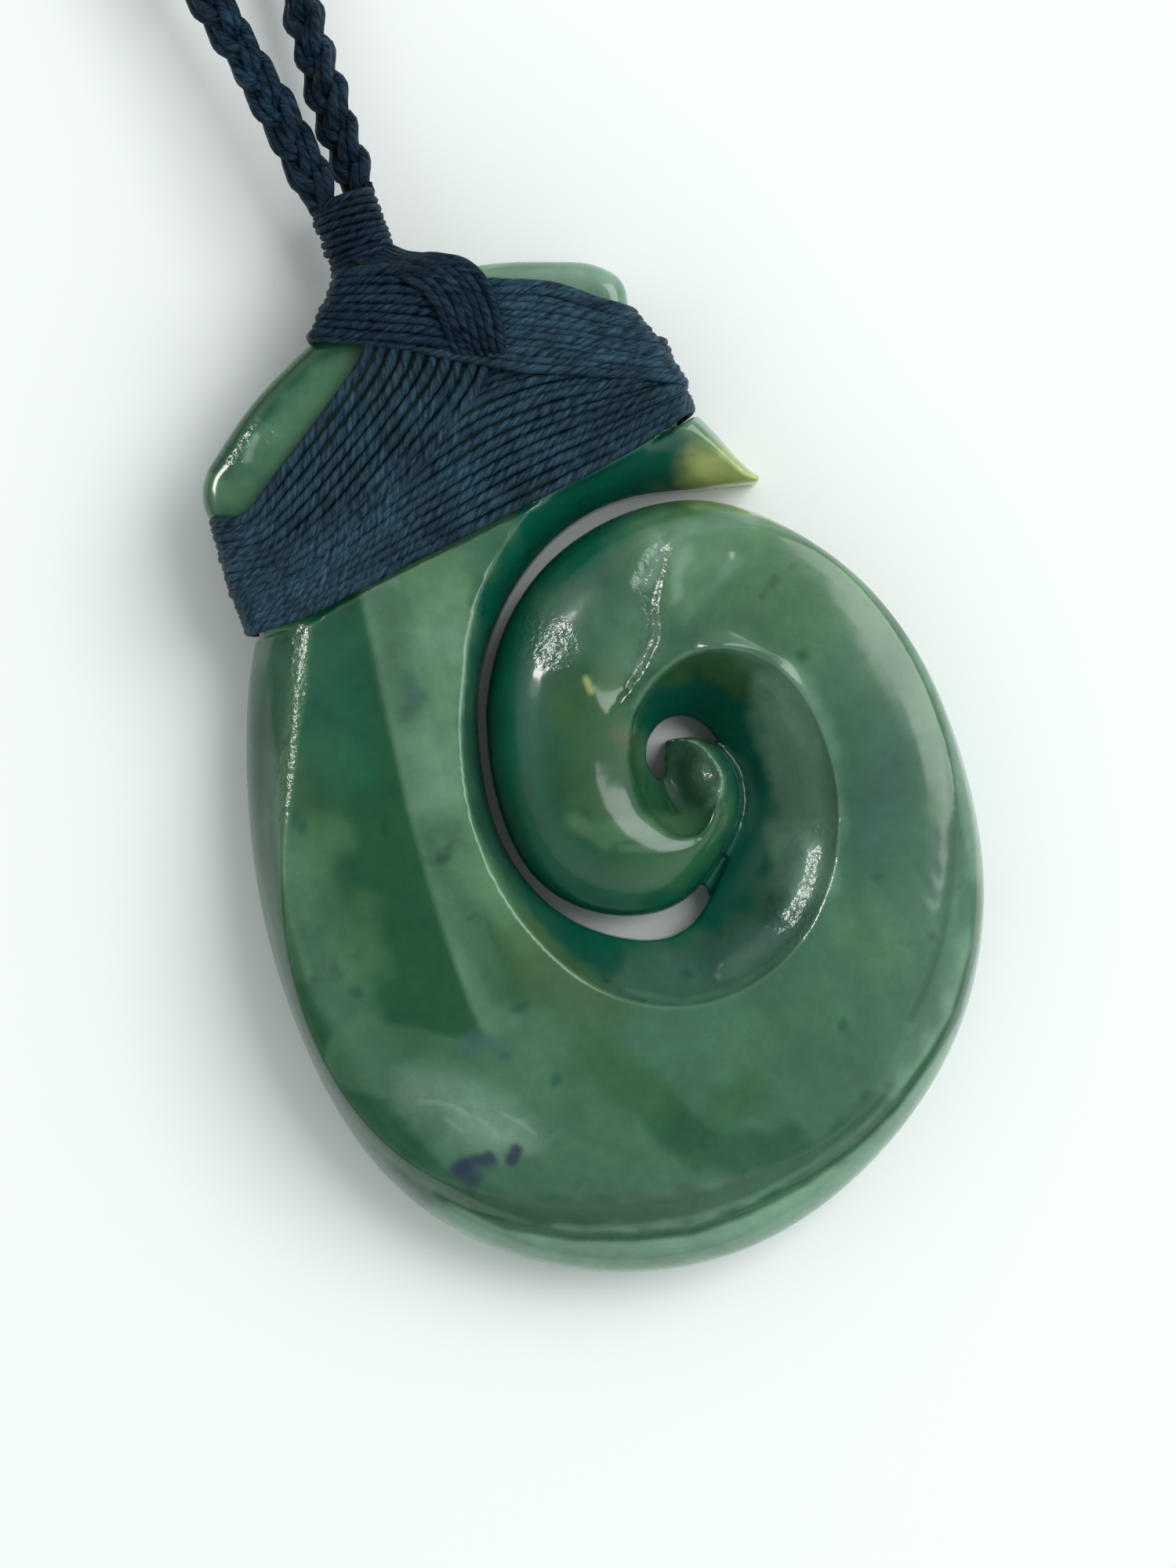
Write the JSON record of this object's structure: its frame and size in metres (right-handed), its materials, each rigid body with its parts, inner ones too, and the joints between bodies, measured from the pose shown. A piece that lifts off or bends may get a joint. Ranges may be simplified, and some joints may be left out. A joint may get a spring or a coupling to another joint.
{
  "type": "koru pendant necklace",
  "caption": "Carved green stone koru spiral pendant, bound with black waxed thread to a braided neck loop that closes in a plain whipping.",
  "frame": {"origin": "on the flat back of the stone, under the coil of the spiral, where the pendant lies", "axes": "+Z is the carved face, up as it lies; +Y runs from the stone along the neck whipping to the neck loop; +X is to the right, seen from the face"},
  "size_m": [0.1472, 0.3036, 0.0106],
  "materials": {
    "nephrite": "polished, translucent",
    "waxed_thread": "black waxed thread, wound",
    "waxed_braid": "black waxed thread, braided"
  },
  "bodies": {
    "root": {"koru_stone": "nephrite", "lower_lashing": "waxed_thread", "upper_lashing": "waxed_thread", "knot_turn": "waxed_thread", "neck_whipping": "waxed_thread", "left_braid": "waxed_braid", "right_braid": "waxed_braid", "closure_whipping": "waxed_thread"}
  },
  "joints": []
}
